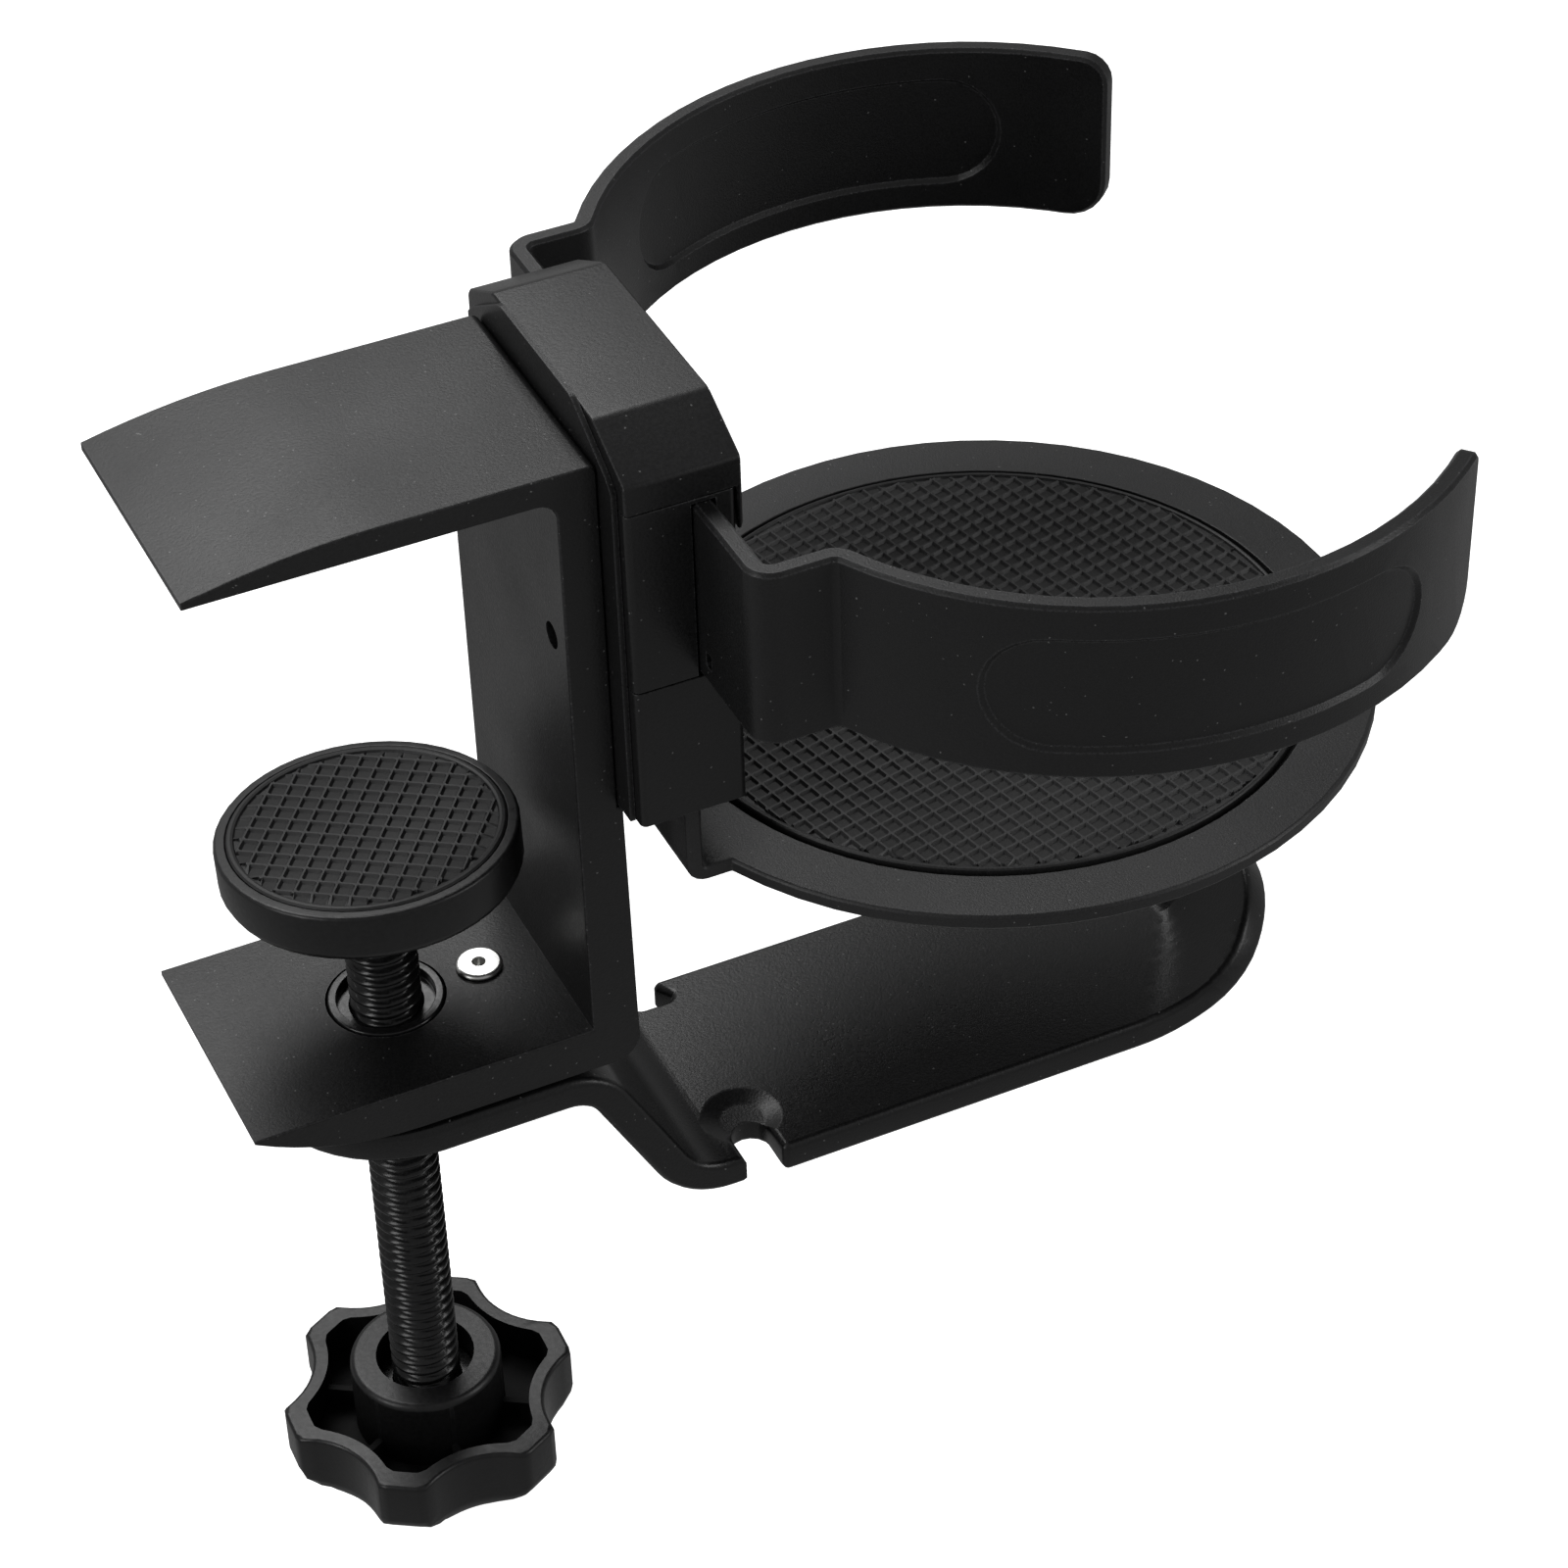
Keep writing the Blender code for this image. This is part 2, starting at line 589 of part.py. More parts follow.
def housing_body():
    outline = box_outline(*HOUSING_X, -HOUSING_HALF, HOUSING_HALF, 0.7)
    look = material("housing_body_cast", (0.04, 0.04, 0.042), 0.3, 0.5)
    body = plate("housing_body", outline, even_layers(SEAM_Z, BODY_TOP_Z, 0.15), look)
    for side, (back, front) in ((-1, NEAR_CHANNEL_X), (1, FAR_CHANNEL_X)):
        channel = bmesh.new()
        ends = sorted((-7.5 * side, (HOUSING_HALF + 1) * side))
        opening = box_outline(*ends, SEAM_Z - 1, BODY_TOP_Z - 0.5)
        flat_plate(channel, opening, [], [(back, 0.0), (front, 0.0)])
        turn_axes(channel, "X")
        cut(body, "cut_body_channel_near" if side < 0 else "cut_body_channel_far", channel)
    bores = bmesh.new()
    near = [(0.0, 22.0), (1.6, 22.0), (1.6, 27.35), (2.0, 27.35), (2.0, 30.5), (0.0, 30.5)]
    rod_along_x(bores, near, GRUB_Y, GRUB_Z)
    rod_along_x(bores, pin(24.4, 32.0, 2.0), -GRUB_Y, FAR_BRAKE_Z)
    for y in (-STACK_Y, STACK_Y):
        rod_along_z(bores, pin(SEAM_Z - 1, BODY_TOP_Z + 1, 1.7), STACK_X, y)
    cut(body, "cut_body_bores", bores)


def housing_base():
    outline = box_outline(*HOUSING_X, -HOUSING_HALF, HOUSING_HALF, 0.7)
    look = material("housing_base_cast", (0.04, 0.04, 0.042), 0.3, 0.5)
    base = plate("housing_base", outline, even_layers(BASE_FOOT_Z, SEAM_Z - 0.05, 0.15), look)
    slot = bmesh.new()
    opening = box_outline(LEG_X - 1.0, LEG_X + 1.0, -REST_HALF - 0.25, REST_HALF + 0.25)
    flat_plate(slot, opening, [], [(BASE_FOOT_Z - 1, 0.0), (LEG_TOP_Z + 0.3, 0.0)])
    cut(base, "cut_base_slot", slot)
    bores = bmesh.new()
    front = HOUSING_X[1]
    seat = [(0.0, 22.0), (2.1, 22.0), (2.1, front - 1.75), (3.75, front)]
    seat += [(3.75, front + 1), (0.0, front + 1)]
    for side in (-1, 1):
        rod_along_x(bores, seat, side * BASE_SCREW_Y, BASE_SCREW_Z)
        head = [(0.0, BASE_FOOT_Z - 1), (2.7, BASE_FOOT_Z - 1), (2.7, BASE_FOOT_Z + 3)]
        hole = [(1.7, BASE_FOOT_Z + 3), (1.7, SEAM_Z + 1), (0.0, SEAM_Z + 1)]
        rod_along_z(bores, head + hole, STACK_X, side * STACK_Y)
    cut(base, "cut_base_bores", bores)


def housing_cover():
    low = BODY_TOP_Z + 0.05
    half = [(HOUSING_HALF, COVER_SKIRT_Z), (HOUSING_HALF, 2.6), (19.7, 3.2), (13.1, 6.65)]
    half.append((12.2, COVER_TOP_Z))
    outline = half + [(-y, z) for y, z in reversed(half)]
    look = material("housing_cover_cast", (0.04, 0.04, 0.042), 0.3, 0.5)
    cover = plate("housing_cover", outline, even_layers(*COVER_X, 0.3), look, "X")
    room = bmesh.new()
    behind = box_outline(COVER_X[0] - 1, HOUSING_X[1] + 0.1, -HOUSING_HALF - 1, HOUSING_HALF + 1)
    flat_plate(room, behind, [], [(COVER_SKIRT_Z - 1, 0.0), (low, 0.0)])
    cut(cover, "cut_cover_room", room)
    bores = bmesh.new()
    for y in (-STACK_Y, STACK_Y):
        rod_along_z(bores, pin(low - 1, 2.6, 1.6), STACK_X, y)
    cut(cover, "cut_cover_bores", bores)


def arm_path(arm_x, elbow_y, shoulder_x, splay, radius, sweep):
    """The plan of an arm from its tongue end, as (length, turn) pieces, for the arm on the -Y side."""
    out = elbow_y - ARM_T / 2 - ARM_BEND_R - ARM_TONGUE_Y
    corner = ARM_BEND_R * math.radians(90.0)
    ahead = shoulder_x - arm_x - ARM_BEND_R
    back = ARM_BEND_R * math.radians(splay)
    return [(out, 0.0), (corner, 90.0), (ahead, 0.0), (back, -splay), (radius * math.radians(sweep), sweep)]


def grip_arm(name, side, shape, pill, top_corner, look):
    path = arm_path(*shape)
    arm_x = shape[0]
    radius = shape[4]
    start = sum(length for length, turn in path[:-1])
    end = start + path[-1][0]
    low, high = ARM_Z
    middle = (low + high) / 2
    tongue = (low, middle - 0.8) if side < 0 else (middle + 0.8, high)
    outline = [(0.0, tongue[0])]
    if side > 0:
        outline += [(ARM_TONGUE, tongue[0]), (ARM_TONGUE, low)]
    outline += arc(end - 5.0, low + 5.0, 5.0, -90, 0, 6)
    outline += arc(end - top_corner, high - top_corner, top_corner, 0, 90, 5)
    if side < 0:
        outline += [(ARM_TONGUE, high), (ARM_TONGUE, tongue[1])]
    outline += [(0.0, tongue[1])]
    round_r = (ARM_PILL_Z[1] - ARM_PILL_Z[0]) / 2
    pill_z = sum(ARM_PILL_Z) / 2
    from_s, to_s = (start + radius * math.radians(a) for a in pill)
    dent = arc(to_s - round_r, pill_z, round_r, -90, 90, 12)
    dent += arc(from_s + round_r, pill_z, round_r, 90, 270, 12)
    bm = bmesh.new()
    flat_plate(bm, outline, [], even_layers(-ARM_T / 2, ARM_T / 2, 0.4), [dent], ARM_PILL_DEPTH)
    bend_strip(bm, lambda v: path, stations(path, 5.0), (arm_x, -ARM_TONGUE_Y), -90.0, "Z")
    for vert in bm.verts:
        vert.co.y *= -side
    return make(name, bm, look, (arm_x, side * HOUSING_HALF, middle))


def grip_arm_near():
    look = material("grip_arm_near_paint", (0.03, 0.03, 0.032), 0.4, 0.35)
    arm = grip_arm("grip_arm_near", -1, (ARM_NEAR_X, 34.2, 38.3, 63.0, 40.1, 104.8), (20.3, 88.0), 1.3, look)
    slit = bmesh.new()
    opening = box_outline(-22.9, -21.6, -19.7, -17.9, 0.3)
    flat_plate(slit, opening, [], [(ARM_NEAR_X - 3, 0.0), (ARM_NEAR_X + 3, 0.0)])
    turn_axes(slit, "X")
    cut(arm, "cut_arm_slit", slit)


def grip_arm_far():
    look = material("grip_arm_far_paint", (0.03, 0.03, 0.032), 0.4, 0.35)
    grip_arm("grip_arm_far", 1, (ARM_FAR_X, 33.5, 40.0, 57.0, 40.7, 107.9), (19.2, 90.2), 3.0, look)


def arm_brake(name, arm_x, y, z, colour):
    bm = bmesh.new()
    rod_along_x(bm, pin(27.5, arm_x - ARM_T / 2 - 0.1, 1.9), y, z)
    make(name, bm, material(name + "_nylon", colour, 0.0, 0.5))


def brake_spring_far():
    bm = bmesh.new()
    rod_along_x(bm, pin(24.5, 27.4, 1.7), -GRUB_Y, FAR_BRAKE_Z)
    make("brake_spring_far", bm, material("brake_spring_rubber", (0.1, 0.1, 0.1), 0.0, 0.8))


def cup_base():
    leg = LEG_TOP_Z - REST_Z - REST_T / 2 - LEG_BEND_R
    bend = LEG_BEND_R * math.radians(90.0)
    centre = leg + bend + REST_X - LEG_X - LEG_BEND_R
    reach = math.degrees(math.asin(REST_HALF / REST_R))
    outline = [(0.0, -REST_HALF)] + arc(centre, 0, REST_R, -180 + reach, 180 - reach, 56)
    outline += [(0.0, REST_HALF)]
    holes = [circle(LEG_TOP_Z - BASE_SCREW_Z, y, 2.2, 24) for y in (-BASE_SCREW_Y, BASE_SCREW_Y)]
    bm = bmesh.new()
    flat_plate(bm, outline, holes, even_layers(-REST_T / 2, REST_T / 2, 0.3))
    path = [(leg, 0.0), (bend, 90.0), (100.0, 0.0)]
    bend_strip(bm, lambda v: path, stations(path, 18.0), (LEG_X, LEG_TOP_Z), -90.0, "Y")
    look = material("cup_base_paint", (0.03, 0.03, 0.032), 0.4, 0.5)
    base = make("cup_base", bm, look)
    seat = bmesh.new()
    rod_along_z(seat, pin(REST_Z + 0.8, REST_Z + 4.0, MAT_SEAT_R), REST_X, 0.0, 72)
    cut(base, "cut_mat_seat", seat)


def cup_mat():
    bm = bmesh.new()
    low = REST_Z + 0.9
    high = REST_Z + REST_T + 0.4
    profile = [(0.0, low), (MAT_R, low), (MAT_R, high - 0.4), (MAT_R - 0.4, high), (0.0, high)]
    rod_along_z(bm, profile, REST_X, 0.0, 72)
    make("cup_mat", bm, material("cup_mat_rubber", (0.02, 0.02, 0.02), 0.0, 0.8))


def base_screw(name, y):
    front = HOUSING_X[1] - 0.15
    bm = bmesh.new()
    socket = [(0.0, front - 1.6), (1.25, front - 1.6), (1.25, front)]
    head = [(3.3, front), (3.3, front - 0.1), (1.9, front - 1.6), (1.9, 19.6), (0.0, 19.6)]
    rod_along_x(bm, socket + head, y, BASE_SCREW_Z)
    make(name, bm, material(name + "_steel", (0.05, 0.05, 0.05), 0.9, 0.3))


def stack_screw(name, y):
    foot = BASE_FOOT_Z + 0.3
    bm = bmesh.new()
    socket = [(0.0, foot + 1.4), (1.25, foot + 1.4), (1.25, foot)]
    head = [(2.2, foot), (2.5, foot + 0.3), (2.5, BASE_FOOT_Z + 2.9), (1.45, BASE_FOOT_Z + 2.9)]
    rod_along_z(bm, socket + head + [(1.45, 2.2), (0.0, 2.2)], STACK_X, y)
    make(name, bm, material(name + "_steel", (0.05, 0.05, 0.05), 0.9, 0.3))


def grub_screw():
    bm = bmesh.new()
    socket = [(0.0, 20.6), (0.75, 20.6), (0.75, 19.2)]
    rod_along_x(bm, socket + [(1.1, 19.2), (1.4, 19.5), (1.4, 27.3), (0.0, 27.3)], GRUB_Y, GRUB_Z)
    make("grub_screw", bm, material("grub_screw_steel", (0.05, 0.05, 0.05), 0.9, 0.3))


def main():
    clear_scene()
    clamp_frame()
    screw_bush()
    stop_rivet()
    hook_washer()
    retaining_ring()
    headset_hook()
    clamp_screw()
    pad_seat()
    pad_cup()
    pad_rubber()
    star_knob()
    knob_insert()
    knob_screw()
    knob_cap()
    back_plate()
    housing_body()
    housing_base()
    housing_cover()
    grip_arm_near()
    grip_arm_far()
    arm_brake("arm_brake_near", ARM_NEAR_X, GRUB_Y, GRUB_Z, (0.5, 0.5, 0.48))
    arm_brake("arm_brake_far", ARM_FAR_X, -GRUB_Y, FAR_BRAKE_Z, (0.5, 0.5, 0.48))
    brake_spring_far()
    cup_base()
    cup_mat()
    base_screw("base_screw_near", -BASE_SCREW_Y)
    base_screw("base_screw_far", BASE_SCREW_Y)
    stack_screw("stack_screw_near", -STACK_Y)
    stack_screw("stack_screw_far", STACK_Y)
    grub_screw()


main()
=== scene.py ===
"""Looks for the desk clamp cup holder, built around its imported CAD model.

Every object is in metres in the frame of the CAD: +X from the clamp to the cup, +Z up, and the origin
on the clamp screw's axis at the face that rests on the desk top.
"""

import math

import bmesh
import bpy
from mathutils import Matrix, Vector


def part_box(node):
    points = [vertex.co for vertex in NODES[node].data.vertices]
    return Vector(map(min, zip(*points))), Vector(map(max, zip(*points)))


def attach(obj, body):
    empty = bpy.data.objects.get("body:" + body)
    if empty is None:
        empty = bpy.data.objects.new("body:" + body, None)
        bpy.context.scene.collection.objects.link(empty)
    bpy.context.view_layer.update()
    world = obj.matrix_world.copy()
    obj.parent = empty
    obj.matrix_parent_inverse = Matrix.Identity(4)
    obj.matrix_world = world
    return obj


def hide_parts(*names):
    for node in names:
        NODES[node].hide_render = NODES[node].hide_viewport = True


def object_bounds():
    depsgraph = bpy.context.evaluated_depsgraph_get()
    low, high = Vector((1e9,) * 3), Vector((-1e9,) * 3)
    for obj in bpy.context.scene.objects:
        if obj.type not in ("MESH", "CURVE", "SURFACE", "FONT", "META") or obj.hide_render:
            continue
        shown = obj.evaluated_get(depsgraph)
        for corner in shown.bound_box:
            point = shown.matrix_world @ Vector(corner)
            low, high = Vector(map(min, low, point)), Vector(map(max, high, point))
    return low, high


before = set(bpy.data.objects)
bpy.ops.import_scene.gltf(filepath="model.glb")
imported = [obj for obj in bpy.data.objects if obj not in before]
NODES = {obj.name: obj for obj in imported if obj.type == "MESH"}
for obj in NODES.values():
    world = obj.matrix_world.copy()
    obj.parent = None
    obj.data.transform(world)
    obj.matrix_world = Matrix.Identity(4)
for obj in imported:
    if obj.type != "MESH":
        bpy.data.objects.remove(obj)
cad_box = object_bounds()

MM = 0.001

# Clamp screw. Sizes from here on are in mm unless they say otherwise.
THREAD_PITCH = 1.5
THREAD_CREST_R = 3.95
THREAD_ROOT_R = 3.2
THREAD_STEPS = 48
THREAD_RINGS_PER_TURN = 8
THREAD_FOOT_Z = -132.6
THREAD_TOP_Z = -53.6
THREAD_RUN_OUT = 1.2
SCREW_FOOT_Z = -133.45
SCREW_FOOT_R = 3.0
BALL_Z = -50.6
BALL_R = 3.1

# Where the painted shade in the knob's hollow starts, below its highest point and out from the screw's
# axis
POCKET_DEPTH = 4.8
POCKET_REACH = 7.0
HUB_REACH = 12.0

# Hook, with its dish as (radius, height over the tray's face)
HOOK_T = 3.9
DISH_AT = (37.3, -9.2)
DISH_PROFILE = [(2.4, -0.75), (2.9, -0.65), (4.4, -0.15), (4.9, 0.05), (4.9, 0.6)]

# Ribbed rubber faces. A rib is RIB_FOOT to either side of its middle at its foot, and RIB_CREST at
# its crest. The pad's rim is (radius, height over the ball's centre), and the mat's is (depth in from
# its edge, depth below its top).
RIB_HEIGHT = 0.35
RIB_FOOT = 0.34
RIB_CREST = 0.1
PAD_PITCH = 2.05
PAD_RIB_TURN = 53.0
PAD_RIB_REACH = 13.9
PAD_TILT = -4.58
PAD_FOOT_Z = 3.9
PAD_FLOOR_Z = 4.95
PAD_RIM = [(14.8, 5.05), (14.6, 5.25), (14.3, 5.3), (14.05, 5.2)]
MAT_PITCH = 1.9
MAT_RIB_TURN = 12.0
MAT_RIB_REACH = 35.2
MAT_FLOOR_DEPTH = 0.37
MAT_RIM = [(0.0, 0.3), (0.12, 0.12), (0.3, 0.06), (0.5, 0.12), (0.65, 0.38)]

# Stage. The floor is clear of the knob when the screw is wound down, and it reaches FLOOR_HALF metres
# each way. Each light has its place, its aim and its size in metres, and its power in watts.
FLOOR_DROP = 16.5
FLOOR_HALF = 60.0
FLOOR_WHITE = 0.9
FLOOR_GLOW = 0.62
WORLD_STRENGTH = 0.32
LIGHTS = {
    "overhead_box": ((-0.05, 0.5, 0.62), (0.02, 0, -0.02), (0.7, 0.4), 5.0),
    "left_box": ((-0.65, -0.15, 0.25), (0.0, 0, -0.05), (0.25, 0.5), 2.0),
    "right_box": ((0.6, -0.45, 0.2), (0.06, 0, -0.05), (0.2, 0.5), 1.6),
}

# Camera, at the photograph's viewing angle, with its clip distances and its place in metres
CAMERA_LENS = 100.78
CAMERA_SENSOR = 36.0
CAMERA_CLIP = (0.01, 200.0)
CAMERA_AT = (-0.10502, -0.34164, 0.24753)
CAMERA_RIGHT = (0.90404, -0.42673, -0.02454)
CAMERA_UP = (0.28679, 0.56300, 0.77509)

# Grain, painted glints and painted highlights along the edges. A scale is in cells to the metre.
BROAD_SCALE = 45.0
GLINT_SCALE = 6500.0
GLINT_TONE = (0.1, 0.1, 0.1)
# Painted highlight: the lighter tone laid along edges, and the radius in mm of the mask that finds them
EDGE_HIGHLIGHT_TONE = (0.04, 0.04, 0.042)
EDGE_HIGHLIGHT_RADIUS = 0.3


# ---------------------------------------------------------------- materials

def new_material(name):
    made = bpy.data.materials.new(name)
    made.use_nodes = True
    return made, made.node_tree, made.node_tree.nodes["Principled BSDF"]


def add_node(tree, kind, **inputs):
    node = tree.nodes.new(kind)
    for key, value in inputs.items():
        node.inputs[key.replace("_", " ")].default_value = value
    return node


def noise(tree, where, scale, detail):
    node = add_node(tree, "ShaderNodeTexNoise", Scale=scale, Detail=detail)
    tree.links.new(where, node.inputs["Vector"])
    return node.outputs["Fac"]


def ranged(tree, value, low, high, to_low, to_high):
    node = tree.nodes.new("ShaderNodeMapRange")
    for key, number in zip(("From Min", "From Max", "To Min", "To Max"), (low, high, to_low, to_high)):
        node.inputs[key].default_value = number
    tree.links.new(value, node.inputs["Value"])
    return node.outputs["Result"]


def math_of(tree, operation, one, two):
    node = tree.nodes.new("ShaderNodeMath")
    node.operation = operation
    for socket, value in zip(node.inputs, (one, two)):
        if isinstance(value, float):
            socket.default_value = value
        else:
            tree.links.new(value, socket)
    return node.outputs["Value"]


def mixed(tree, share, low, high):
    node = tree.nodes.new("ShaderNodeMix")
    node.data_type = "RGBA"
    tree.links.new(share, node.inputs["Factor"])
    for socket, value in ((node.inputs["A"], low), (node.inputs["B"], high)):
        if isinstance(value, tuple):
            socket.default_value = (*value, 1.0)
        else:
            tree.links.new(value, socket)
    return node.outputs["Result"]


def edge_highlight_mask(tree, radius):
    """A mask that is 1 along edges, whether they stand out or lie in a corner, and 0 on flats; it places
    the painted edge highlights.
    """
    bevel = tree.nodes.new("ShaderNodeBevel")
    bevel.samples = 4
    bevel.inputs["Radius"].default_value = radius
    geometry = tree.nodes.new("ShaderNodeNewGeometry")
    dot = tree.nodes.new("ShaderNodeVectorMath")
    dot.operation = "DOT_PRODUCT"
    tree.links.new(bevel.outputs["Normal"], dot.inputs[0])
    tree.links.new(geometry.outputs["Normal"], dot.inputs[1])
    return ranged(tree, dot.outputs["Value"], 0.99, 0.88, 0.0, 1.0)


def coated(name, colour, roughness, grain, height, glints=0.0, edge_highlight=1.0, specular=0.33):
    """A coated or moulded surface: grain by size and height in mm, uneven gloss, painted highlights along
    the edges, painted glints.

    Glints gather on the painted edge highlights, so a look that has glints has some edge highlight too.
    """
    made, tree, shader = new_material(name)
    where = tree.nodes.new("ShaderNodeTexCoord").outputs["Object"]
    broad = noise(tree, where, BROAD_SCALE, 3.0)
    fine = noise(tree, where, 1000.0 / grain, 3.0)
    dark = tuple(c * 0.6 for c in colour)
    light = tuple(c * 1.5 for c in colour)
    broad_share = ranged(tree, broad, 0.3, 0.7, 0.0, 0.35)
    fine_share = ranged(tree, fine, 0.3, 0.7, 0.0, 0.65)
    tone = mixed(tree, math_of(tree, "ADD", broad_share, fine_share), dark, light)
    gloss = ranged(tree, broad, 0.3, 0.7, roughness - 0.05, roughness + 0.06)
    gloss = math_of(tree, "ADD", gloss, ranged(tree, fine, 0.3, 0.7, -0.04, 0.04))
    # Painted highlight: edges take a lighter, grainy tone
    if edge_highlight:
        rim = edge_highlight_mask(tree, EDGE_HIGHLIGHT_RADIUS * MM)
        edge = math_of(tree, "MULTIPLY", rim, ranged(tree, fine, 0.35, 0.6, 0.0, 1.0))
        tone = mixed(tree, math_of(tree, "MULTIPLY", edge, edge_highlight), tone, EDGE_HIGHLIGHT_TONE)
    if glints:
        cells = add_node(tree, "ShaderNodeTexVoronoi", Scale=GLINT_SCALE)
        tree.links.new(where, cells.inputs["Vector"])
        parts = tree.nodes.new("ShaderNodeSeparateColor")
        tree.links.new(cells.outputs["Color"], parts.inputs["Color"])
        # Painted glints: more of them fall along the edges
        on_edge = math_of(tree, "MULTIPLY", rim, 20.0 * glints)
        chance = math_of(tree, "ADD", parts.outputs["Red"], on_edge)
        spark = math_of(tree, "GREATER_THAN", chance, 1.0 - glints)
        tone = mixed(tree, spark, tone, GLINT_TONE)
    tree.links.new(tone, shader.inputs["Base Color"])
    tree.links.new(gloss, shader.inputs["Roughness"])
    bump = add_node(tree, "ShaderNodeBump", Strength=0.9, Distance=height * MM)
    tree.links.new(fine, bump.inputs["Height"])
    tree.links.new(bump.outputs["Normal"], shader.inputs["Normal"])
    shader.inputs["Specular IOR Level"].default_value = specular
    return made


def metal(name, colour, roughness, scratches):
    """Bare or plated metal with fine scratches along one direction."""
    made, tree, shader = new_material(name)
    where = tree.nodes.new("ShaderNodeTexCoord").outputs["Object"]
    mapping = tree.nodes.new("ShaderNodeMapping")
    mapping.inputs["Scale"].default_value = (400.0, 400.0, 4000.0)
    tree.links.new(where, mapping.inputs["Vector"])
    lines = noise(tree, mapping.outputs["Vector"], 1.0, 2.0)
    broad = noise(tree, where, 300.0, 2.0)
    dark = tuple(c * 0.75 for c in colour)
    tree.links.new(mixed(tree, broad, dark, colour), shader.inputs["Base Color"])
    gloss = ranged(tree, lines, 0.3, 0.7, roughness - 0.08, roughness + 0.1)
    tree.links.new(gloss, shader.inputs["Roughness"])
    bump = add_node(tree, "ShaderNodeBump", Strength=0.4, Distance=scratches * MM)
    tree.links.new(lines, bump.inputs["Height"])
    tree.links.new(bump.outputs["Normal"], shader.inputs["Normal"])
    shader.inputs["Metallic"].default_value = 1.0
    return made


def make_looks():
    return {
        "frame": coated("sparkle_black_coat", (0.006, 0.006, 0.0062), 0.4, 0.3, 0.03, glints=0.002),
        "satin": coated("satin_black_coat", (0.0055, 0.0055, 0.0057), 0.35, 0.22, 0.03,
                        glints=0.001, edge_highlight=2.2),
        # Painted light: a lighter copy of the black coat, as the cup rest is lit more brightly than the
        # other black parts
        "rest": coated("cup_rest_lit_black_coat", (0.011, 0.011, 0.0113), 0.42, 0.22, 0.03, glints=0.001),
        "hook": coated("hook_black_coat", (0.005, 0.005, 0.0052), 0.33, 0.3, 0.03, glints=0.001),
        "housing": coated("housing_black_coat", (0.0055, 0.0055, 0.0057), 0.32, 0.35, 0.02, glints=0.001),
        "screw": coated("black_oxide_steel", (0.006, 0.006, 0.0062), 0.22, 0.5, 0.01, edge_highlight=0.4),
        "plastic": coated("black_moulded_plastic", (0.005, 0.005, 0.0052), 0.36, 0.5, 0.015, edge_highlight=0.5),
        # Painted shade: a darker, less reflective copy of the black plastic for the knob's hollow
        "hollow_shade": coated("black_plastic_hollow_shade", (0.004, 0.004, 0.0041), 0.6, 0.5, 0.004,
                         edge_highlight=0.0, specular=0.08),
        # Painted shade: a darker copy of the rubber for the floors between the ribs
        "floor_shade": coated("black_rubber_floor_shade", (0.004, 0.004, 0.0041), 0.6, 0.25, 0.02, edge_highlight=0.0),
        "nylon": coated("pale_nylon", (0.32, 0.32, 0.3), 0.5, 0.4, 0.01, edge_highlight=0.0),
        "dark_nylon": coated("dark_nylon", (0.04, 0.04, 0.04), 0.5, 0.4, 0.01, edge_highlight=0.0),
        "rubber": coated("black_ribbed_rubber", (0.009, 0.009, 0.0092), 0.5, 0.25, 0.02, edge_highlight=0.6),
        "zinc": metal("bright_zinc", (0.74, 0.74, 0.72), 0.32, 0.01),
        "steel": metal("plain_steel", (0.42, 0.42, 0.43), 0.35, 0.01),
    }


# ---------------------------------------------------------------- pieces

def finish_piece(name, bm, look, slot, body, *nodes):
    """An object from a bmesh in metres that rides on a body and stands for CAD nodes."""
    bmesh.ops.recalc_face_normals(bm, faces=bm.faces[:])
    mesh = bpy.data.meshes.new(name)
    bm.to_mesh(mesh)
    bm.free()
    mesh.shade_smooth()
    mesh.materials.append(look)
    obj = bpy.data.objects.new(name, mesh)
    bpy.context.scene.collection.objects.link(obj)
    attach(obj, body)
    if nodes:
        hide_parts(*nodes)
    return obj


def soften(obj, width, angle=55.0):
    """Rounds the sharp edges by a width in mm and lets the flats keep their own shading."""
    bevel = obj.modifiers.new("rounded_edges", "BEVEL")
    bevel.width = width * MM
    bevel.segments = 3
    bevel.limit_method = "ANGLE"
    bevel.angle_limit = math.radians(angle)
    bevel.use_clamp_overlap = True
    weighted = obj.modifiers.new("flat_faces", "WEIGHTED_NORMAL")
    weighted.weight = 100
    weighted.mode = "FACE_AREA"
    return obj


def welded(node):
    """A CAD node's solid as one welded bmesh, with its coplanar triangles joined."""
    bm = bmesh.new()
    bm.from_mesh(NODES[node].data)
    bmesh.ops.remove_doubles(bm, verts=bm.verts[:], dist=2e-6)
    bmesh.ops.dissolve_limit(bm, angle_limit=math.radians(0.3), verts=bm.verts[:], edges=bm.edges[:])
    return bm


def refine(node, look, slot, body, width, angle=55.0):
    """The CAD node's shape with rounded, smoothly shaded edges."""
    piece = finish_piece(node + "_finished", welded(node), look, slot, body, node)
    return soften(piece, width, angle)


def circle_points(radius, z, steps):
    angles = [2 * math.pi * i / steps for i in range(steps)]
    return [Vector((radius * math.cos(a), radius * math.sin(a), z)) * MM for a in angles]


def lathe(bm, profile, steps):
    """Turns a profile of (radius, z) in mm round Z into a closed shape."""
    rings = []
    for radius, z in profile:
        points = circle_points(radius, z, steps) if radius else [Vector((0, 0, z)) * MM]
        rings.append([bm.verts.new(point) for point in points])
    pairs = list(zip(rings, rings[1:]))
    if len(rings[0]) > 1:
        pairs.append((rings[-1], rings[0]))
    for low, high in pairs:
        for i in range(steps):
            j = (i + 1) % steps
            if len(low) == 1:
                bm.faces.new((low[0], high[j], high[i]))
            elif len(high) == 1:
                bm.faces.new((low[i], low[j], high[0]))
            else:
                bm.faces.new((low[i], low[j], high[j], high[i]))


